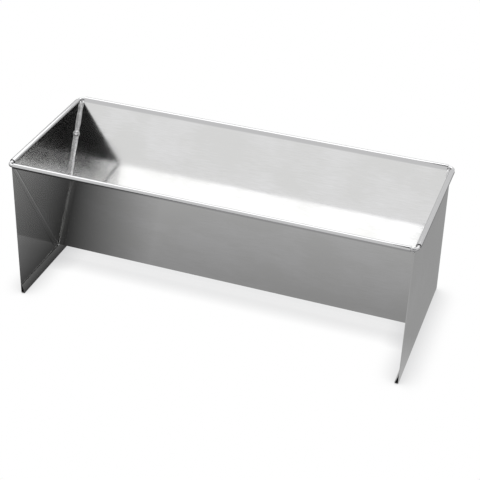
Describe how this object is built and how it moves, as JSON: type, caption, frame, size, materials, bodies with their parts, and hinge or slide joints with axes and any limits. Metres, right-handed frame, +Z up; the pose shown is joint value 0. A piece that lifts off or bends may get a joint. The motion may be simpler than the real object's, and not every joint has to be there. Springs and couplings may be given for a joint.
{
  "type": "triangular loaf mould",
  "caption": "Long V-shaped baking mould of bright sheet metal, open on top, standing on two upright end plates with folded feet.",
  "frame": {"origin": "middle of the footprint, on the surface that the end plates stand on", "axes": "+X along the trough towards its right end, +Y to the back, +Z up"},
  "size_m": [0.3, 0.121, 0.111],
  "materials": {
    "bright_sheet": "bright rolled tinned steel sheet with a very fine grain",
    "rim_wire": "drawn wire, satin",
    "solder": "soft tin solder, smooth and slightly uneven"
  },
  "bodies": {
    "root": {"trough": "bright_sheet", "left_end_plate": "bright_sheet", "right_end_plate": "bright_sheet", "rim_wire": "rim_wire", "left_solder_seam": "solder", "right_solder_seam": "solder"}
  },
  "joints": []
}
